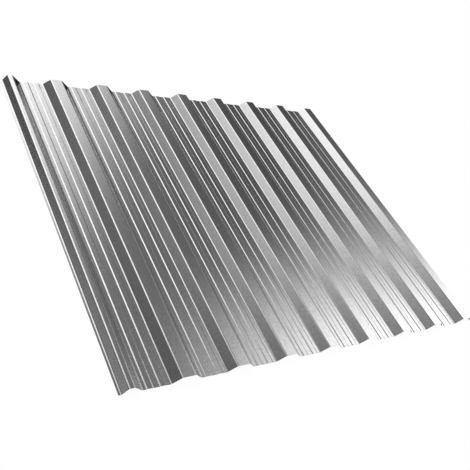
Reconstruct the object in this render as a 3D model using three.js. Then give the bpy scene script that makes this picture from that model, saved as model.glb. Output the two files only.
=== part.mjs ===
// A trapezoidal corrugated steel sheet, cold rolled from one flat coil.
// Millimetres, +Z up. X runs across the corrugations, from the underlap edge to the overlap edge,
// and Y runs along them. The origin is at the middle of the sheet's footprint, on the floor
// that its valleys lie on.
import * as THREE from "three";

// Sheet
const SHEET_LENGTH = 1000; // along the corrugations
const STEEL_THICKNESS = 0.5; // with its zinc coating

// Corrugation, measured between the corners that the bends round
const CREST_COUNT = 9;
const PITCH = 137.5; // crest to crest
const PROFILE_HEIGHT = 18; // from a valley to a crest, on the same side of the steel
const CREST_WIDTH = 31.5;
const WEB_RUN = 20.5; // plan width of a sloping web
const BEND_RADIUS = 6; // of the steel's middle line

// Underlap edge: a narrower crest that the next sheet's last crest covers, and its foot
const UNDERLAP_CREST_WIDTH = 12.75;
const UNDERLAP_WEB_RUN = 10.5;
const FOOT_WIDTH = 7;

// Stiffening ribs, low and flat topped, along every valley
const RIBS_PER_VALLEY = 2;
const RIB_HEIGHT = 1;
const RIB_TOP_WIDTH = 11.5;
const RIB_WEB_RUN = 2.5;
const RIB_BEND_RADIUS = 1.5; // of the steel's middle line
const RIB_SPACING = 29.75; // middle to middle, in one valley
const RIB_OFFSET = -0.8; // from the valley's middle to the middle of its ribs

// Largest angle that one facet of a bend turns through
const BEND_FACET_ANGLE = THREE.MathUtils.degToRad(10);

const VALLEY_WIDTH = PITCH - CREST_WIDTH - 2 * WEB_RUN;

const galvanisedSteel = new THREE.MeshStandardMaterial({
  name: "galvanised_steel",
  color: 0xb4b6b7,
  roughness: 0.28,
  metalness: 1,
});

// One corner of the middle line, with the radius of the bend that rounds it.
function corner(x, height, radius = BEND_RADIUS) {
  return { point: new THREE.Vector2(x, height), radius };
}

// The four corners of a stiffening rib whose middle is at x.
function ribCorners(x) {
  const topHalf = RIB_TOP_WIDTH / 2;
  const baseHalf = topHalf + RIB_WEB_RUN;
  return [
    corner(x - baseHalf, 0, RIB_BEND_RADIUS),
    corner(x - topHalf, RIB_HEIGHT, RIB_BEND_RADIUS),
    corner(x + topHalf, RIB_HEIGHT, RIB_BEND_RADIUS),
    corner(x + baseHalf, 0, RIB_BEND_RADIUS),
  ];
}

// The corners of a valley with its ribs, from the foot of one web to the foot of the next.
function valleyCorners(start) {
  const ribsMiddle = start + VALLEY_WIDTH / 2 + RIB_OFFSET;
  const firstRib = ribsMiddle - ((RIBS_PER_VALLEY - 1) / 2) * RIB_SPACING;
  const corners = [corner(start, 0)];
  for (let rib = 0; rib < RIBS_PER_VALLEY; rib += 1) {
    corners.push(...ribCorners(firstRib + rib * RIB_SPACING));
  }
  corners.push(corner(start + VALLEY_WIDTH, 0));
  return corners;
}

// The corners of the whole section, from the underlap foot to the overlap edge.
// x is 0 at the middle of a full crest in the first crest's place, and height 0 is a valley.
function sectionCorners() {
  const crestHalf = CREST_WIDTH / 2;
  const underlapTop = crestHalf - UNDERLAP_CREST_WIDTH;
  const underlapBase = underlapTop - UNDERLAP_WEB_RUN;
  const corners = [
    corner(underlapBase - FOOT_WIDTH, 0),
    corner(underlapBase, 0),
    corner(underlapTop, PROFILE_HEIGHT),
    corner(crestHalf, PROFILE_HEIGHT),
  ];
  for (let crest = 1; crest < CREST_COUNT; crest += 1) {
    const middle = crest * PITCH;
    const valleyStart = middle - PITCH + crestHalf + WEB_RUN;
    corners.push(...valleyCorners(valleyStart));
    corners.push(corner(middle - crestHalf, PROFILE_HEIGHT));
    corners.push(corner(middle + crestHalf, PROFILE_HEIGHT));
  }
  const lastCrest = (CREST_COUNT - 1) * PITCH;
  corners.push(corner(lastCrest + crestHalf + WEB_RUN, 0));
  return corners;
}

// The bend that rounds a corner, as the arc of the middle line: its centre, its radius, the
// directions that the line has before and after it, and side, 1 where it turns left and -1 right.
function bendAt(before, { point, radius }, after) {
  const into = point.clone().sub(before.point).normalize();
  const out = after.point.clone().sub(point).normalize();
  const side = Math.sign(into.cross(out));
  const turn = Math.acos(into.dot(out));
  const setback = radius * Math.tan(turn / 2);
  const leftOfInto = new THREE.Vector2(-into.y, into.x);
  const centre = point
    .clone()
    .addScaledVector(into, -setback)
    .addScaledVector(leftOfInto, side * radius);
  return { centre, radius, side, turn, heading: into.angle() };
}

// Points along one face of a bend. offset is the face's distance to the left of the middle line.
function bendFacePoints({ centre, radius, side, turn, heading }, offset) {
  const faceRadius = radius - side * offset;
  const facets = Math.ceil(turn / BEND_FACET_ANGLE);
  const points = [];
  for (let i = 0; i <= facets; i += 1) {
    const angle = heading + side * ((i / facets) * turn - Math.PI / 2);
    points.push(
      new THREE.Vector2(Math.cos(angle), Math.sin(angle))
        .multiplyScalar(faceRadius)
        .add(centre),
    );
  }
  return points;
}

// The point of a cut edge on one face of the steel, square to the line through the section's end.
function edgePoint(end, neighbour, offset, leftSign) {
  const along = neighbour.point.clone().sub(end.point).normalize();
  const left = new THREE.Vector2(-along.y, along.x).multiplyScalar(leftSign);
  return end.point.clone().addScaledVector(left, offset);
}

// One face of the steel, from the underlap foot to the overlap edge.
function facePoints(corners, offset) {
  const last = corners.length - 1;
  const points = [edgePoint(corners[0], corners[1], offset, 1)];
  for (let i = 1; i < last; i += 1) {
    points.push(...bendFacePoints(bendAt(corners[i - 1], corners[i], corners[i + 1]), offset));
  }
  points.push(edgePoint(corners[last], corners[last - 1], offset, -1));
  return points;
}

// The closed outline of the section: along the underside and back along the upper side.
function sectionOutline() {
  const corners = sectionCorners();
  const underside = facePoints(corners, -STEEL_THICKNESS / 2);
  const upperSide = facePoints(corners, STEEL_THICKNESS / 2);
  return [...underside, ...upperSide.reverse()];
}

// The sheet's solid: the section extruded along Y, centred on the origin and set on the floor.
function sheetGeometry() {
  const geometry = new THREE.ExtrudeGeometry(new THREE.Shape(sectionOutline()), {
    depth: SHEET_LENGTH,
    bevelEnabled: false,
  });
  geometry.rotateX(Math.PI / 2);
  geometry.computeBoundingBox();
  const { min, max } = geometry.boundingBox;
  geometry.translate(-(min.x + max.x) / 2, -(min.y + max.y) / 2, -min.z);
  return geometry;
}

const corrugatedSheet = new THREE.Mesh(sheetGeometry(), galvanisedSteel);
corrugatedSheet.name = "corrugated_sheet";

const part = new THREE.Group();
part.add(corrugatedSheet);

export default part;
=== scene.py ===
"""A trapezoidal galvanised steel sheet, lying flat on a pale studio floor.

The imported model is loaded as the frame. Geometry Nodes roll the one sheet again with round
bends, it is dressed in its zinc, and a plain studio lights and frames it.
Names that end in _mm are in millimetres, as are the sheet's own sizes. Other lengths are in metres.
"""

import logging
import math
from collections.abc import Mapping
from dataclasses import dataclass
from enum import Enum
from typing import Any

import bpy
from mathutils import Matrix, Vector


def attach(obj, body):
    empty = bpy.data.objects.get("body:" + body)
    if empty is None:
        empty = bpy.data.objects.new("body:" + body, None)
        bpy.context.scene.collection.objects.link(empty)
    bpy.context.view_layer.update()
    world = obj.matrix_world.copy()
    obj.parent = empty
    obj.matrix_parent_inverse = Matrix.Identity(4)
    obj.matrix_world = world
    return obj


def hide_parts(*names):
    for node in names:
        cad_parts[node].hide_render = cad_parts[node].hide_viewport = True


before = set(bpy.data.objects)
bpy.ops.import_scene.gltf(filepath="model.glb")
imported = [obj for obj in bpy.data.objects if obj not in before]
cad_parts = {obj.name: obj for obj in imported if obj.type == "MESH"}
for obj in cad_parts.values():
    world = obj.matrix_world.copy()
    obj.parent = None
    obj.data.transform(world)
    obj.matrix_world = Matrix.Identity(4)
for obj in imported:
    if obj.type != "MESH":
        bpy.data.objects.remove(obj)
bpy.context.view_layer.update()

Socket = bpy.types.NodeSocket
Tree = bpy.types.NodeTree

NODE = "corrugated_sheet"
BODY = "root"
STRIP_PLACE = "strip_place"  # where a point lay on the flat strip, before the rolls bent it
MM = 0.001

# the sRGB curve: straight up to its knee, and a shifted power above it
SRGB_KNEE = 0.04045
SRGB_SLOPE = 12.92
SRGB_SHIFT = 0.055
SRGB_POWER = 2.4

log = logging.getLogger(NODE)


# ---------------------------------------------------------------- small tools


def linear(hex_colour: str) -> tuple[float, float, float, float]:
    """Turn an sRGB colour into the linear values that Blender mixes.

    Args:
        hex_colour: The colour as "#rrggbb".

    Returns:
        Linear red, green and blue, and an alpha of 1.
    """
    channels = [channel / 255 for channel in bytes.fromhex(hex_colour[1:])]
    red, green, blue = (
        c / SRGB_SLOPE if c <= SRGB_KNEE else ((c + SRGB_SHIFT) / (1 + SRGB_SHIFT)) ** SRGB_POWER
        for c in channels
    )
    return red, green, blue, 1.0


def add_node(
    tree: Tree,
    kind: str,
    feeds: Mapping[str | int, Any] | None = None,
    **settings: Any,
) -> bpy.types.Node:
    """Add one node with its settings and what feeds it.

    Args:
        tree: The tree that the node goes into.
        kind: The node's type, as bpy names it.
        feeds: What goes into each input, by its name or number: a socket or a value.
        settings: Attributes of the node, such as operation or data_type.

    Returns:
        The new node.
    """
    node = tree.nodes.new(kind)
    for name, value in settings.items():
        setattr(node, name, value)
    for name, value in (feeds or {}).items():
        if isinstance(value, Socket):
            tree.links.new(value, node.inputs[name])
        else:
            node.inputs[name].default_value = value
    return node


def new_material(name: str) -> tuple[bpy.types.Material, Tree]:
    """Make an empty node material.

    Args:
        name: The material's name.

    Returns:
        The material and its cleared tree.
    """
    material = bpy.data.materials.new(name)
    material.use_nodes = True
    material.node_tree.nodes.clear()
    return material, material.node_tree


# ---------------------------------------------------------------- finishes


@dataclass(frozen=True)
class GalvanisedSteel:
    """Hot-dip galvanised strip with a small spangle, skin passed and cold rolled to profile.

    Bright neutral zinc with a satin skin. Reflections are soft, each crystal of the spangle
    is a shade lighter or darker than the next, and the skin pass leaves a fine grain.
    """

    name: str = "hot_dip_galvanised_steel"
    zinc: str = "#cdcdcd"
    spangle: str = "#c0c0c0"
    roughness: float = 0.18
    roughness_swing: float = 0.02
    spangle_mm: float = 3.0  # a minimised spangle is about 1 mm, too fine to show
    grain_mm: float = 1.6  # real skin-pass grain is about 0.1 mm, too fine to show
    grain_height_mm: float = 0.006

    def build(self) -> bpy.types.Material:
        """Build the zinc skin, with its pattern laid on the strip as it was before bending.

        Returns:
            The material.
        """
        material, tree = new_material(self.name)
        strip = add_node(tree, "ShaderNodeAttribute", attribute_name=STRIP_PLACE).outputs["Vector"]
        crystals = add_node(
            tree,
            "ShaderNodeTexVoronoi",
            {"Vector": strip, "Scale": 1 / (self.spangle_mm * MM)},
            voronoi_dimensions="2D",
        )
        crystal = add_node(
            tree, "ShaderNodeSeparateColor", {"Color": crystals.outputs["Color"]}
        ).outputs
        tone = add_node(
            tree,
            "ShaderNodeMix",
            {"Factor": crystal["Red"], "A": linear(self.zinc), "B": linear(self.spangle)},
            data_type="RGBA",
        )
        satin = add_node(
            tree,
            "ShaderNodeMapRange",
            {
                "Value": crystal["Green"],
                "To Min": self.roughness - self.roughness_swing,
                "To Max": self.roughness + self.roughness_swing,
            },
        )
        grain = add_node(
            tree, "ShaderNodeTexNoise", {"Vector": strip, "Scale": 1 / (self.grain_mm * MM)}
        )
        relief = add_node(
            tree,
            "ShaderNodeBump",
            {"Height": grain.outputs["Fac"], "Distance": self.grain_height_mm * MM},
        )
        skin = add_node(
            tree,
            "ShaderNodeBsdfPrincipled",
            {
                "Base Color": tone.outputs["Result"],
                "Metallic": 1.0,
                "Roughness": satin.outputs["Result"],
                "Normal": relief.outputs["Normal"],
            },
        )
        add_node(tree, "ShaderNodeOutputMaterial", {"Surface": skin.outputs["BSDF"]})
        return material


@dataclass(frozen=True)
class ShearedSteel:
    """The guillotined and slit edges: bare steel between two films of zinc.

    A little darker and duller than the zinc, with fine drag marks through the thickness.
    """

    name: str = "sheared_steel_edge"
    steel: str = "#8f9091"
    roughness: float = 0.42
    drag_mark_mm: float = 0.8  # real drag marks are about 0.05 mm wide, too fine to show
    drag_detail: float = 1.0
    drag_height_mm: float = 0.01

    def build(self) -> bpy.types.Material:
        """Build the cut steel.

        Returns:
            The material.
        """
        material, tree = new_material(self.name)
        strip = add_node(tree, "ShaderNodeAttribute", attribute_name=STRIP_PLACE).outputs["Vector"]
        drag_marks = add_node(
            tree,
            "ShaderNodeTexNoise",
            {
                "Vector": strip,
                "Scale": 1 / (self.drag_mark_mm * MM),
                "Detail": self.drag_detail,
            },
        )
        relief = add_node(
            tree,
            "ShaderNodeBump",
            {"Height": drag_marks.outputs["Fac"], "Distance": self.drag_height_mm * MM},
        )
        cut = add_node(
            tree,
            "ShaderNodeBsdfPrincipled",
            {
                "Base Color": linear(self.steel),
                "Metallic": 1.0,
                "Roughness": self.roughness,
                "Normal": relief.outputs["Normal"],
            },
        )
        add_node(tree, "ShaderNodeOutputMaterial", {"Surface": cut.outputs["BSDF"]})
        return material


# ---------------------------------------------------------------- the sheet


class Size(Enum):
    """The sheet's sizes. Each names a field of the sheet and an input of its node tree."""

    LENGTH = "length"
    THICKNESS = "thickness"
    PITCH = "pitch"
    HEIGHT = "height"
    CREST_WIDTH = "crest_width"
    WEB_RUN = "web_run"
    BEND_RADIUS = "bend_radius"
    UNDERLAP_CREST_WIDTH = "underlap_crest_width"
    UNDERLAP_WEB_RUN = "underlap_web_run"
    FOOT_WIDTH = "foot_width"
    RIB_HEIGHT = "rib_height"
    RIB_TOP_WIDTH = "rib_top_width"
    RIB_WEB_RUN = "rib_web_run"
    RIB_BEND_RADIUS = "rib_bend_radius"
    RIB_SPACING = "rib_spacing"
    RIB_OFFSET = "rib_offset"


class Count(Enum):
    """The sheet's counts. Each names a field of the sheet and an input of its node tree."""

    CRESTS = "crest_count"
    BEND_STEPS = "bend_steps"


class Finish(Enum):
    """The sheet's finishes. Each names a field of the sheet and an input of its node tree."""

    ZINC = "zinc_finish"
    CUT_EDGE = "cut_edge_finish"


@dataclass(frozen=True)
class Corner:
    """A corner of the section's middle line.

    Its place across the sheet is a sum of shares of the sheet's sizes, counted from the foot
    of the web that starts its corrugation.
    """

    across: Mapping[Size, float]
    height: Size | None
    bend: Size


@dataclass(frozen=True)
class SweptStrip:
    """The swept strip in the node tree, with how far across the flat strip each point is."""

    mesh: Socket
    distance: Socket
    share: Socket


@dataclass
class CorrugatedSheet:
    """One rolled sheet, with sizes in millimetres between the corners that the bends round."""

    length: float = 1000.0
    thickness: float = 0.5
    crest_count: int = 9
    pitch: float = 137.5
    height: float = 18.0
    crest_width: float = 31.5
    web_run: float = 20.5
    bend_radius: float = 6.0  # of the steel's middle line, as is the ribs' bend radius
    underlap_crest_width: float = 12.75
    underlap_web_run: float = 10.5
    foot_width: float = 7.0
    rib_height: float = 1.0
    rib_top_width: float = 11.5
    rib_web_run: float = 2.5
    rib_bend_radius: float = 1.5
    rib_spacing: float = 29.75
    rib_offset: float = -0.8  # from the valley's middle to the middle of its two ribs
    bend_steps: int = 12  # that each bend is rounded in
    sharp_edge_degrees: float = 40.0  # more than a step of a bend, less than a sheared corner
    end_facing: float = 0.5  # a face whose normal runs this much along the sheet is a cut end
    slit_edge_share: float = 0.0001  # of the strip's width, less than any face but a slit edge
    zinc_finish: GalvanisedSteel = GalvanisedSteel()
    cut_edge_finish: ShearedSteel = ShearedSteel()

    def lead_in(self) -> list[Corner]:
        """List the corners of the underlap edge, from the foot's tip to the first full web.

        Returns:
            The corners from left to right.
        """
        crest_right = {Size.WEB_RUN: -1.0}
        crest_left = {**crest_right, Size.UNDERLAP_CREST_WIDTH: -1.0}
        web_foot = {**crest_left, Size.UNDERLAP_WEB_RUN: -1.0}
        foot_tip = {**web_foot, Size.FOOT_WIDTH: -1.0}
        return [
            Corner(foot_tip, None, Size.BEND_RADIUS),
            Corner(web_foot, None, Size.BEND_RADIUS),
            Corner(crest_left, Size.HEIGHT, Size.BEND_RADIUS),
            Corner(crest_right, Size.HEIGHT, Size.BEND_RADIUS),
        ]

    def corrugation(self) -> list[Corner]:
        """List the corners of one valley with its two ribs and of the crest after it.

        Returns:
            The corners from left to right.
        """
        valley_middle = {Size.PITCH: 0.5, Size.CREST_WIDTH: -0.5, Size.WEB_RUN: -1.0}
        corners = [Corner({}, None, Size.BEND_RADIUS)]
        for rib_side in (-0.5, 0.5):
            rib_middle = {**valley_middle, Size.RIB_OFFSET: 1.0, Size.RIB_SPACING: rib_side}
            for side, lifted in ((-1, False), (-1, True), (1, True), (1, False)):
                rib_corner = {**rib_middle, Size.RIB_TOP_WIDTH: side * 0.5}
                if not lifted:
                    rib_corner[Size.RIB_WEB_RUN] = float(side)
                rib_height = Size.RIB_HEIGHT if lifted else None
                corners.append(Corner(rib_corner, rib_height, Size.RIB_BEND_RADIUS))
        next_web = {Size.PITCH: 1.0, Size.CREST_WIDTH: -1.0, Size.WEB_RUN: -2.0}
        crest_left = {**next_web, Size.WEB_RUN: -1.0}
        crest_right = {Size.PITCH: 1.0, Size.WEB_RUN: -1.0}
        corners.append(Corner(next_web, None, Size.BEND_RADIUS))
        corners.append(Corner(crest_left, Size.HEIGHT, Size.BEND_RADIUS))
        corners.append(Corner(crest_right, Size.HEIGHT, Size.BEND_RADIUS))
        return corners

    def add_inputs(self, tree: Tree) -> dict[str, Socket]:
        """Give the tree an input for each size, count and finish, and its one output.

        Args:
            tree: The tree that rolls the sheet.

        Returns:
            The inputs' sockets by name.
        """
        kinds = ((Size, "Float"), (Count, "Int"), (Finish, "Material"))
        for names, kind in kinds:
            for name in names:
                tree.interface.new_socket(
                    name.value, in_out="INPUT", socket_type=f"NodeSocket{kind}"
                )
        tree.interface.new_socket("sheet", in_out="OUTPUT", socket_type="NodeSocketGeometry")
        return {socket.name: socket for socket in add_node(tree, "NodeGroupInput").outputs}

    def work_out_corner(self, tree: Tree, inputs: Mapping[str, Socket], corner: Corner) -> Socket:
        """Work out one corner from the tree's inputs.

        Args:
            tree: The tree that rolls the sheet.
            inputs: The tree's inputs by name.
            corner: The corner.

        Returns:
            A vector: X is the place across from the corrugation's start, Y the bend's radius
            and Z the height.
        """
        across: Socket | float = 0.0
        for size, share in corner.across.items():
            across = add_node(
                tree,
                "ShaderNodeMath",
                {0: inputs[size.value], 1: share, 2: across},
                operation="MULTIPLY_ADD",
            ).outputs[0]
        height = inputs[corner.height.value] if corner.height else 0.0
        bend = inputs[corner.bend.value]
        return add_node(
            tree, "ShaderNodeCombineXYZ", {"X": across, "Y": bend, "Z": height}
        ).outputs["Vector"]

    def count_corners(self, tree: Tree, inputs: Mapping[str, Socket]) -> Socket:
        """Count the section's corners.

        Args:
            tree: The tree that rolls the sheet.
            inputs: The tree's inputs by name.

        Returns:
            The number of corners, with one for the foot that the last web ends in.
        """
        corrugations = add_node(
            tree,
            "FunctionNodeIntegerMath",
            {0: inputs[Count.CRESTS.value], 1: 1},
            operation="SUBTRACT",
        )
        return add_node(
            tree,
            "FunctionNodeIntegerMath",
            {
                0: corrugations.outputs[0],
                1: len(self.corrugation()),
                2: len(self.lead_in()) + 1,
            },
            operation="MULTIPLY_ADD",
        ).outputs[0]

    def place_corners(self, tree: Tree, inputs: Mapping[str, Socket]) -> tuple[Socket, Socket]:
        """Set out the section's corners by their number, from left to right.

        The lead-in's corners come first. Then each corrugation has the same corners as the
        one before it, a pitch further on.

        Args:
            tree: The tree that rolls the sheet.
            inputs: The tree's inputs by name.

        Returns:
            Each corner's place and the radius of its bend.
        """
        lead_in = self.lead_in()
        corrugation = self.corrugation()
        number = add_node(tree, "GeometryNodeInputIndex").outputs["Index"]
        past_lead_in = add_node(
            tree,
            "FunctionNodeIntegerMath",
            {0: number, 1: len(lead_in)},
            operation="SUBTRACT",
        )
        whole_pitches = add_node(
            tree,
            "FunctionNodeIntegerMath",
            {0: past_lead_in.outputs[0], 1: len(corrugation)},
            operation="DIVIDE_FLOOR",
        )
        pitches = add_node(
            tree,
            "FunctionNodeIntegerMath",
            {0: whole_pitches.outputs[0], 1: 0},
            operation="MAXIMUM",
        ).outputs[0]
        corners_before = add_node(
            tree,
            "FunctionNodeIntegerMath",
            {0: pitches, 1: len(corrugation)},
            operation="MULTIPLY",
        )
        which_corner = add_node(
            tree,
            "FunctionNodeIntegerMath",
            {0: number, 1: corners_before.outputs[0]},
            operation="SUBTRACT",
        )
        chosen = add_node(
            tree,
            "GeometryNodeIndexSwitch",
            {"Index": which_corner.outputs[0]},
            data_type="VECTOR",
        )
        corners = lead_in + corrugation
        while len(chosen.index_switch_items) < len(corners):
            chosen.index_switch_items.new()
        for i, corner in enumerate(corners):
            tree.links.new(self.work_out_corner(tree, inputs, corner), chosen.inputs[str(i)])
        parts = add_node(
            tree, "ShaderNodeSeparateXYZ", {"Vector": chosen.outputs["Output"]}
        ).outputs
        across = add_node(
            tree,
            "ShaderNodeMath",
            {0: pitches, 1: inputs[Size.PITCH.value], 2: parts["X"]},
            operation="MULTIPLY_ADD",
        )
        place = add_node(
            tree, "ShaderNodeCombineXYZ", {"X": across.outputs[0], "Z": parts["Z"]}
        )
        return place.outputs["Vector"], parts["Y"]

    def draw_middle_line(self, tree: Tree, inputs: Mapping[str, Socket]) -> Socket:
        """Draw the section's middle line and round its corners.

        Args:
            tree: The tree that rolls the sheet.
            inputs: The tree's inputs by name.

        Returns:
            A curve in the XZ plane, with normals along the sheet.
        """
        place, bend_radius = self.place_corners(tree, inputs)
        corners = add_node(
            tree,
            "GeometryNodePoints",
            {"Count": self.count_corners(tree, inputs), "Position": place},
        )
        line = add_node(
            tree, "GeometryNodePointsToCurves", {"Points": corners.outputs["Points"]}
        )
        rounded = add_node(
            tree,
            "GeometryNodeFilletCurve",
            {
                "Curve": line.outputs["Curves"],
                "Count": inputs[Count.BEND_STEPS.value],
                "Radius": bend_radius,
            },
            mode="POLY",
        )
        return add_node(
            tree,
            "GeometryNodeSetCurveNormal",
            {"Curve": rounded.outputs["Curve"], "Normal": (0.0, 1.0, 0.0)},
            mode="FREE",
        ).outputs["Curve"]

    def sweep_strip(self, tree: Tree, inputs: Mapping[str, Socket], line: Socket) -> SweptStrip:
        """Sweep the strip's own rectangle, its length by its thickness, along the middle line.

        Args:
            tree: The tree that rolls the sheet.
            inputs: The tree's inputs by name.
            line: The middle line.

        Returns:
            The closed strip.
        """
        across = add_node(tree, "GeometryNodeSplineParameter")
        measured = add_node(tree, "GeometryNodeCaptureAttribute", {"Geometry": line})
        for name in ("Length", "Factor"):
            measured.capture_items.new("FLOAT", name)
            tree.links.new(across.outputs[name], measured.inputs[name])
        rectangle = add_node(
            tree,
            "GeometryNodeCurvePrimitiveQuadrilateral",
            {
                "Width": inputs[Size.LENGTH.value],
                "Height": inputs[Size.THICKNESS.value],
            },
        )
        swept = add_node(
            tree,
            "GeometryNodeCurveToMesh",
            {
                "Curve": measured.outputs["Geometry"],
                "Profile Curve": rectangle.outputs["Curve"],
                "Fill Caps": True,
            },
        )
        return SweptStrip(
            swept.outputs["Mesh"], measured.outputs["Length"], measured.outputs["Factor"]
        )

    def centre_on_floor(self, tree: Tree, mesh: Socket) -> Socket:
        """Move the sheet until it is centred in X and Y and its lowest point is at a Z of 0.

        Args:
            tree: The tree that rolls the sheet.
            mesh: The sheet.

        Returns:
            The moved sheet.
        """
        box = add_node(tree, "GeometryNodeBoundBox", {"Geometry": mesh}).outputs
        corner_sum = add_node(
            tree, "ShaderNodeVectorMath", {0: box["Min"], 1: box["Max"]}, operation="ADD"
        )
        to_middle = add_node(
            tree,
            "ShaderNodeVectorMath",
            {0: corner_sum.outputs["Vector"], 1: (-0.5, -0.5, 0.0)},
            operation="MULTIPLY",
        )
        to_floor = add_node(
            tree,
            "ShaderNodeVectorMath",
            {0: box["Min"], 1: (0.0, 0.0, -1.0), 2: to_middle.outputs["Vector"]},
            operation="MULTIPLY_ADD",
        )
        return add_node(
            tree,
            "GeometryNodeSetPosition",
            {"Geometry": mesh, "Offset": to_floor.outputs["Vector"]},
        ).outputs["Geometry"]

    def crease(self, tree: Tree, mesh: Socket) -> Socket:
        """Keep the cut edges crisp where the rest is shaded smooth.

        Args:
            tree: The tree that rolls the sheet.
            mesh: The sheet.

        Returns:
            The sheet with its sharp edges marked.
        """
        angle = add_node(tree, "GeometryNodeInputMeshEdgeAngle").outputs["Unsigned Angle"]
        sharp = add_node(
            tree,
            "FunctionNodeCompare",
            {"A": angle, "B": math.radians(self.sharp_edge_degrees)},
            operation="GREATER_THAN",
            data_type="FLOAT",
        )
        return add_node(
            tree,
            "GeometryNodeSetShadeSmooth",
            {"Geometry": mesh, "Selection": sharp.outputs["Result"], "Shade Smooth": False},
            domain="EDGE",
        ).outputs["Geometry"]

    def store_strip_places(self, tree: Tree, mesh: Socket, distance: Socket) -> Socket:
        """Store where each point lay on the flat strip, for the finishes to read.

        Args:
            tree: The tree that rolls the sheet.
            mesh: The sheet.
            distance: How far across the flat strip each point is.

        Returns:
            The sheet with its strip places.
        """
        position = add_node(tree, "GeometryNodeInputPosition").outputs["Position"]
        along = add_node(tree, "ShaderNodeSeparateXYZ", {"Vector": position}).outputs["Y"]
        place = add_node(tree, "ShaderNodeCombineXYZ", {"X": distance, "Y": along})
        return add_node(
            tree,
            "GeometryNodeStoreNamedAttribute",
            {"Geometry": mesh, "Name": STRIP_PLACE, "Value": place.outputs["Vector"]},
            data_type="FLOAT_VECTOR",
        ).outputs["Geometry"]

    def find_cut_faces(self, tree: Tree, share: Socket) -> Socket:
        """Find the faces that a blade made: the guillotined ends and the slit sides.

        Args:
            tree: The tree that rolls the sheet.
            share: How far across the flat strip each point is, from 0 to 1.

        Returns:
            True on the cut faces.
        """
        normal = add_node(tree, "GeometryNodeInputNormal").outputs["Normal"]
        along = add_node(tree, "ShaderNodeSeparateXYZ", {"Vector": normal}).outputs["Y"]
        squareness = add_node(tree, "ShaderNodeMath", {0: along}, operation="ABSOLUTE")
        guillotined = add_node(
            tree,
            "FunctionNodeCompare",
            {"A": squareness.outputs[0], "B": self.end_facing},
            operation="GREATER_THAN",
            data_type="FLOAT",
        )
        middle = 0.5
        from_middle = add_node(
            tree, "ShaderNodeMath", {0: share, 1: middle}, operation="SUBTRACT"
        )
        sideways = add_node(
            tree, "ShaderNodeMath", {0: from_middle.outputs[0]}, operation="ABSOLUTE"
        )
        slit = add_node(
            tree,
            "FunctionNodeCompare",
            {"A": sideways.outputs[0], "B": middle - self.slit_edge_share},
            operation="GREATER_THAN",
            data_type="FLOAT",
        )
        return add_node(
            tree,
            "FunctionNodeBooleanMath",
            {0: guillotined.outputs["Result"], 1: slit.outputs["Result"]},
            operation="OR",
        ).outputs[0]

    def dress(
        self, tree: Tree, inputs: Mapping[str, Socket], mesh: Socket, cut: Socket
    ) -> Socket:
        """Give the sheet its zinc and its cut faces their bare steel.

        Args:
            tree: The tree that rolls the sheet.
            inputs: The tree's inputs by name.
            mesh: The sheet.
            cut: True on the cut faces.

        Returns:
            The dressed sheet.
        """
        realized = add_node(tree, "GeometryNodeRealizeInstances", {"Geometry": mesh})
        coated = add_node(
            tree,
            "GeometryNodeSetMaterial",
            {
                "Geometry": realized.outputs["Geometry"],
                "Material": inputs[Finish.ZINC.value],
            },
        )
        return add_node(
            tree,
            "GeometryNodeSetMaterial",
            {
                "Geometry": coated.outputs["Geometry"],
                "Selection": cut,
                "Material": inputs[Finish.CUT_EDGE.value],
            },
        ).outputs["Geometry"]

    def roll_tree(self) -> Tree:
        """Build the node tree that rolls the sheet.

        Returns:
            A Geometry Nodes tree with an input for each size, count and finish.
        """
        tree = bpy.data.node_groups.new("roll_corrugated_sheet", "GeometryNodeTree")
        tree.is_modifier = True
        inputs = self.add_inputs(tree)
        strip = self.sweep_strip(tree, inputs, self.draw_middle_line(tree, inputs))
        sheet = self.crease(tree, self.centre_on_floor(tree, strip.mesh))
        sheet = self.store_strip_places(tree, sheet, strip.distance)
        sheet = self.dress(tree, inputs, sheet, self.find_cut_faces(tree, strip.share))
        add_node(tree, "NodeGroupOutput", {"sheet": sheet})
        return tree

    def input_values(self) -> dict[str, Any]:
        """List what the tree's inputs are set to.

        Returns:
            Sizes in metres, counts and finished materials, by the input's name.
        """
        sizes = {size.value: getattr(self, size.value) * MM for size in Size}
        counts = {count.value: getattr(self, count.value) for count in Count}
        finishes = {finish.value: getattr(self, finish.value).build() for finish in Finish}
        return {**sizes, **counts, **finishes}

    def build(self) -> bpy.types.Object:
        """Roll the sheet, dress it and put it in the frame.

        Returns:
            The finished piece, which stands for the CAD node.
        """
        tree = self.roll_tree()
        piece = bpy.data.objects.new("rolled_sheet", bpy.data.meshes.new("rolled_sheet"))
        bpy.context.scene.collection.objects.link(piece)
        roll = piece.modifiers.new("roll", "NODES")
        roll.node_group = tree
        values = self.input_values()
        for socket in tree.interface.items_tree:
            if socket.in_out == "INPUT":
                roll[socket.identifier] = values[socket.name]
        flats_stay_flat = piece.modifiers.new("flats_stay_flat", "WEIGHTED_NORMAL")
        flats_stay_flat.keep_sharp = True
        depsgraph = bpy.context.evaluated_depsgraph_get()
        rolled = bpy.data.meshes.new_from_object(
            piece.evaluated_get(depsgraph), preserve_all_data_layers=True, depsgraph=depsgraph
        )
        piece.modifiers.clear()
        piece.data = rolled
        rolled.name = piece.name
        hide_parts(NODE)
        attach(piece, BODY)
        return piece


# ---------------------------------------------------------------- the studio


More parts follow.
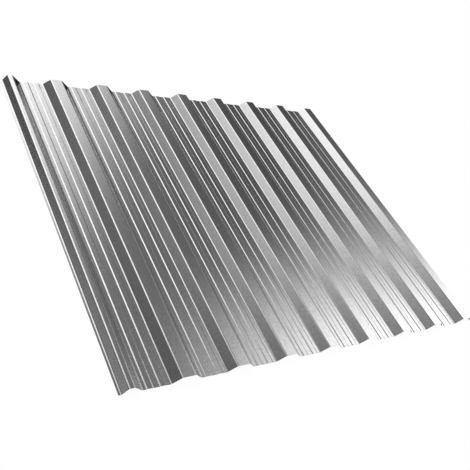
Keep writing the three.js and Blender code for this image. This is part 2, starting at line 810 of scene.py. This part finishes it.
@dataclass(frozen=True)
class SoftBox:
    """A rectangular soft light, far enough away that only its direction counts.

    Angles are degrees: azimuth from +Y towards +X, elevation above the floor, and roll about
    the line to it. Half sizes and feather are tangents of the angles that they fill.
    """

    name: str
    azimuth: float
    elevation: float
    roll: float
    half_width: float
    half_height: float
    feather: float
    radiance: float

    def axes(self) -> tuple[Vector, Vector, Vector]:
        """Work out the light's directions.

        Returns:
            Unit vectors to its middle, along its width and along its height.
        """
        a, e, r = (math.radians(v) for v in (self.azimuth, self.elevation, self.roll))
        to_middle = Vector(
            (math.cos(e) * math.sin(a), math.cos(e) * math.cos(a), math.sin(e))
        )
        level = Vector((math.cos(a), -math.sin(a), 0.0))
        rising = level.cross(to_middle)
        if rising.z < 0:
            rising.negate()
        width = math.cos(r) * level + math.sin(r) * rising
        height = math.cos(r) * rising - math.sin(r) * level
        return to_middle, width, height

    def shine(self, tree: Tree, ray: Socket) -> Socket:
        """Add the light to the world.

        Args:
            tree: The world's tree.
            ray: The direction that the world is seen in.

        Returns:
            The light's radiance in that direction.
        """
        to_middle, width, height = self.axes()
        ahead = add_node(
            tree, "ShaderNodeVectorMath", {0: ray, 1: to_middle}, operation="DOT_PRODUCT"
        ).outputs["Value"]
        in_front = add_node(
            tree, "ShaderNodeMath", {0: ahead, 1: 0.0}, operation="GREATER_THAN"
        ).outputs[0]
        shine = add_node(
            tree, "ShaderNodeMath", {0: in_front, 1: self.radiance}, operation="MULTIPLY"
        ).outputs[0]
        for axis, half in ((width, self.half_width), (height, self.half_height)):
            sideways = add_node(
                tree, "ShaderNodeVectorMath", {0: ray, 1: axis}, operation="DOT_PRODUCT"
            )
            slope = add_node(
                tree,
                "ShaderNodeMath",
                {0: sideways.outputs["Value"], 1: ahead},
                operation="DIVIDE",
            )
            reach = add_node(tree, "ShaderNodeMath", {0: slope.outputs[0]}, operation="ABSOLUTE")
            edge = add_node(
                tree,
                "ShaderNodeMapRange",
                {
                    "Value": reach.outputs[0],
                    "From Min": half - self.feather,
                    "From Max": half + self.feather,
                    "To Min": 1.0,
                    "To Max": 0.0,
                },
                interpolation_type="SMOOTHSTEP",
            )
            shine = add_node(
                tree, "ShaderNodeMath", {0: shine, 1: edge.outputs["Result"]}, operation="MULTIPLY"
            ).outputs[0]
        return shine


@dataclass(frozen=True)
class Studio:
    """A room that grows dim overhead and towards its rear wall, with softboxes in it.

    The metal sees it above a white sweep that ends just over the horizon.
    """

    boxes: tuple[SoftBox, ...] = (
        SoftBox(
            "rear_window", azimuth=-2.5, elevation=41.0, roll=19.0,
            half_width=0.34, half_height=0.47, feather=0.17, radiance=1.2,
        ),
        SoftBox(
            "rear_slant", azimuth=-6.0, elevation=40.0, roll=-39.0,
            half_width=0.69, half_height=0.29, feather=0.15, radiance=0.44,
        ),
        SoftBox(
            "rear_glow", azimuth=-7.0, elevation=46.0, roll=-2.0,
            half_width=0.77, half_height=0.54, feather=0.26, radiance=0.22,
        ),
        SoftBox(
            "right_window", azimuth=73.0, elevation=32.5, roll=29.0,
            half_width=0.05, half_height=0.34, feather=0.21, radiance=2.95,
        ),
        SoftBox(
            "right_strip", azimuth=83.0, elevation=26.0, roll=46.0,
            half_width=0.38, half_height=0.12, feather=0.05, radiance=1.1,
        ),
        SoftBox(
            "overhead_strip", azimuth=180.0, elevation=84.0, roll=0.0,
            half_width=0.9, half_height=0.22, feather=0.12, radiance=0.9,
        ),
    )
    walls: float = 0.75  # the room's radiance at the horizon
    ceiling: float = 0.18  # and straight overhead
    darkening: tuple[float, float] = (-0.06, 0.70)  # how much darker it is along +X and +Y
    sweep_top: float = 0.01  # sine of the elevation of the sweep's top edge

    def room(self, tree: Tree, ray: Socket, rise: Socket) -> Socket:
        """Light the room.

        Args:
            tree: The world's tree.
            ray: The direction that the world is seen in.
            rise: The sine of its elevation.

        Returns:
            The radiance of the walls, the ceiling and the softboxes in that direction.
        """
        upwards = add_node(
            tree,
            "ShaderNodeMapRange",
            {"Value": rise, "To Min": self.walls, "To Max": self.ceiling},
        )
        shade = add_node(
            tree,
            "ShaderNodeVectorMath",
            {0: ray, 1: (*self.darkening, 0.0)},
            operation="DOT_PRODUCT",
        )
        shaded = add_node(
            tree,
            "ShaderNodeMath",
            {0: upwards.outputs["Result"], 1: shade.outputs["Value"]},
            operation="SUBTRACT",
        )
        room = add_node(
            tree, "ShaderNodeMath", {0: shaded.outputs[0], 1: 0.0}, operation="MAXIMUM"
        ).outputs[0]
        for box in self.boxes:
            room = add_node(
                tree, "ShaderNodeMath", {0: room, 1: box.shine(tree, ray)}, operation="ADD"
            ).outputs[0]
        return room

    def backdrop(self, tree: Tree, rise: Socket) -> Socket:
        """Find the rays that meet the white backdrop and not the room.

        Args:
            tree: The world's tree.
            rise: The sine of the ray's elevation.

        Returns:
            1 for what is seen straight or through glass, and for what metal shows of the sweep.
        """
        path = add_node(tree, "ShaderNodeLightPath").outputs
        on_sweep = add_node(
            tree, "ShaderNodeMath", {0: rise, 1: self.sweep_top}, operation="LESS_THAN"
        )
        metal_on_sweep = add_node(
            tree,
            "ShaderNodeMath",
            {0: path["Is Glossy Ray"], 1: on_sweep.outputs[0]},
            operation="MULTIPLY",
        )
        seen = add_node(
            tree,
            "ShaderNodeMath",
            {0: path["Is Camera Ray"], 1: path["Is Transmission Ray"]},
            operation="ADD",
        )
        return add_node(
            tree,
            "ShaderNodeMath",
            {0: seen.outputs[0], 1: metal_on_sweep.outputs[0]},
            operation="ADD",
            use_clamp=True,
        ).outputs[0]

    def build(self) -> bpy.types.World:
        """Build the world: the room for the light and the metal, white for the eye.

        Returns:
            The scene's world.
        """
        world = bpy.data.worlds.new("studio")
        world.use_nodes = True
        tree = world.node_tree
        tree.nodes.clear()
        ray = add_node(tree, "ShaderNodeTexCoord").outputs["Generated"]
        rise = add_node(tree, "ShaderNodeSeparateXYZ", {"Vector": ray}).outputs["Z"]
        room = self.room(tree, ray, rise)
        strength = add_node(
            tree,
            "ShaderNodeMix",
            {"Factor": self.backdrop(tree, rise), "A": room, "B": 1.0},
            data_type="FLOAT",
        )
        light = add_node(
            tree,
            "ShaderNodeBackground",
            {"Color": linear("#ffffff"), "Strength": strength.outputs["Result"]},
        )
        add_node(tree, "ShaderNodeOutputWorld", {"Surface": light.outputs["Background"]})
        bpy.context.scene.world = world
        return world


def stage_rectangle(
    name: str, low: tuple[float, float], high: tuple[float, float], height: float
) -> bpy.types.Object:
    """Lay a flat rectangle of studio kit, level and facing up.

    Args:
        name: The object's name.
        low: Its lowest x and y.
        high: Its highest x and y.
        height: Its z.

    Returns:
        The staged object.
    """
    mesh = bpy.data.meshes.new(name)
    corners = [
        (low[0], low[1], height),
        (high[0], low[1], height),
        (high[0], high[1], height),
        (low[0], high[1], height),
    ]
    mesh.from_pydata(corners, [], [(0, 1, 2, 3)])
    piece = bpy.data.objects.new(name, mesh)
    bpy.context.scene.collection.objects.link(piece)
    return piece


@dataclass(frozen=True)
class PaperSweep:
    """The white paper that the sheet lies on, with the sheet's soft shadow left on it."""

    reach: float = 30.0  # from the origin to each side
    drop_mm: float = 0.2  # below the sheet's underside, so that no two faces share a plane
    paper: str = "#fafafa"
    white_share: float = 0.93  # of what is seen of it, where the rest is lit and takes shadow
    white_strength: float = 1.015  # makes up for what the lit share lacks of white

    def build(self) -> bpy.types.Object:
        """Lay the paper, mostly plain white to the eye and lit as paper for the rest.

        Returns:
            The staged floor.
        """
        material, tree = new_material("matt_white_paper")
        paper = add_node(tree, "ShaderNodeBsdfDiffuse", {"Color": linear(self.paper)})
        white = add_node(tree, "ShaderNodeEmission", {"Strength": self.white_strength})
        path = add_node(tree, "ShaderNodeLightPath").outputs
        straight_or_in_metal = add_node(
            tree,
            "ShaderNodeMath",
            {0: path["Is Camera Ray"], 1: path["Is Glossy Ray"]},
            operation="ADD",
        )
        seen = add_node(
            tree,
            "ShaderNodeMath",
            {0: straight_or_in_metal.outputs[0], 1: path["Is Transmission Ray"]},
            operation="ADD",
            use_clamp=True,
        )
        share = add_node(
            tree,
            "ShaderNodeMath",
            {0: seen.outputs[0], 1: self.white_share},
            operation="MULTIPLY",
        )
        surface = add_node(
            tree,
            "ShaderNodeMixShader",
            {0: share.outputs[0], 1: paper.outputs["BSDF"], 2: white.outputs["Emission"]},
        )
        add_node(tree, "ShaderNodeOutputMaterial", {"Surface": surface.outputs["Shader"]})
        low = (-self.reach, -self.reach)
        high = (self.reach, self.reach)
        floor = stage_rectangle("paper_sweep", low, high, -self.drop_mm * MM)
        floor.data.materials.append(material)
        return floor


@dataclass(frozen=True)
class Flag:
    """A painted reflection: a card on the paper that only the metal's reflections see, painted with
    the shade that the metal mirrors.

    Its shade changes from front to rear, along the length of the sheet.
    """

    name: str
    low: tuple[float, float]
    high: tuple[float, float]
    front: str
    rear: str
    graded: tuple[float, float] = (-0.5, 0.6)  # the y where the change starts and ends
    drop_mm: float = 0.1  # below the sheet's underside, above the paper

    def build(self) -> bpy.types.Object:
        """Lay the card where only reflections find it.

        Returns:
            The staged card.
        """
        material, tree = new_material(f"painted_reflection_{self.name}")
        place = add_node(tree, "ShaderNodeTexCoord").outputs["Object"]
        along = add_node(tree, "ShaderNodeSeparateXYZ", {"Vector": place}).outputs["Y"]
        share = add_node(
            tree,
            "ShaderNodeMapRange",
            {"Value": along, "From Min": self.graded[0], "From Max": self.graded[1]},
        )
        shade = add_node(
            tree,
            "ShaderNodeMix",
            {
                "Factor": share.outputs["Result"],
                "A": linear(self.front),
                "B": linear(self.rear),
            },
            data_type="RGBA",
        )
        card = add_node(tree, "ShaderNodeEmission", {"Color": shade.outputs["Result"]})
        add_node(tree, "ShaderNodeOutputMaterial", {"Surface": card.outputs["Emission"]})
        reflection_card = stage_rectangle(self.name, self.low, self.high, -self.drop_mm * MM)
        reflection_card.data.materials.append(material)
        reflection_card.visible_camera = False
        reflection_card.visible_diffuse = False
        reflection_card.visible_shadow = False
        return reflection_card


@dataclass(frozen=True)
class ViewCamera:
    """The camera that looks down on the sheet, turned about its own line of sight."""

    eye: tuple[float, float, float] = (-1.01566, -0.96706, 0.97311)
    look_at: tuple[float, float, float] = (-0.15877, -0.26095, 0.0)
    roll: float = 32.588  # degrees, about the line of sight
    lens_mm: float = 44.861
    sensor_mm: float = 36.0
    shift: tuple[float, float] = (-0.014257, 0.097626)  # in widths of the picture

    def build(self) -> bpy.types.Object:
        """Place the camera and make it the scene's.

        Returns:
            The scene's camera.
        """
        lens = bpy.data.cameras.new("view_camera")
        lens.lens = self.lens_mm
        lens.sensor_width = self.sensor_mm
        lens.shift_x, lens.shift_y = self.shift
        camera = bpy.data.objects.new("view_camera", lens)
        bpy.context.scene.collection.objects.link(camera)
        ahead = (Vector(self.look_at) - Vector(self.eye)).normalized()
        level = ahead.cross(Vector((0.0, 0.0, 1.0))).normalized()
        upright = level.cross(ahead)
        turn = math.radians(self.roll)
        right = math.cos(turn) * level + math.sin(turn) * upright
        up = math.cos(turn) * upright - math.sin(turn) * level
        axes = Matrix((right, up, -ahead)).transposed()
        camera.matrix_world = Matrix.Translation(self.eye) @ axes.to_4x4()
        bpy.context.scene.camera = camera
        return camera


# ---------------------------------------------------------------- the scene

PAINTED_REFLECTIONS = (
    # painted reflection: a black card behind the sheet, for the dark that the far ends of the webs
    # mirror
    Flag("rear_painted_reflection", low=(-0.56, 0.5), high=(0.9, 0.8), front="#000000", rear="#000000"),
    # painted reflection: a card beside the underlap edge, for the outer web that faces left to
    # mirror, painted darker towards the rear
    Flag("left_painted_reflection", low=(-4.0, -2.0), high=(-0.58, 3.0), front="#9c9c9c", rear="#464646"),
    # painted shadow: a dark card under the sheet, which the metal mirrors as the sheet's own shadow
    # on the paper
    Flag("under_sheet_painted_shadow", low=(-0.575, -0.5), high=(0.575, 0.5), front="#303030", rear="#303030"),
)


def main() -> None:
    """Build the sheet, its studio and the camera, and report each piece."""
    bpy.context.scene.view_settings.view_transform = "Standard"
    pieces = [CorrugatedSheet().build(), PaperSweep().build()]
    pieces += [reflection_card.build() for reflection_card in PAINTED_REFLECTIONS]
    Studio().build()
    ViewCamera().build()
    for piece in pieces:
        log.info("%s: %d faces", piece.name, len(piece.data.polygons))


if __name__ == "__main__":
    logging.basicConfig(level=logging.INFO, format="%(message)s")
    main()
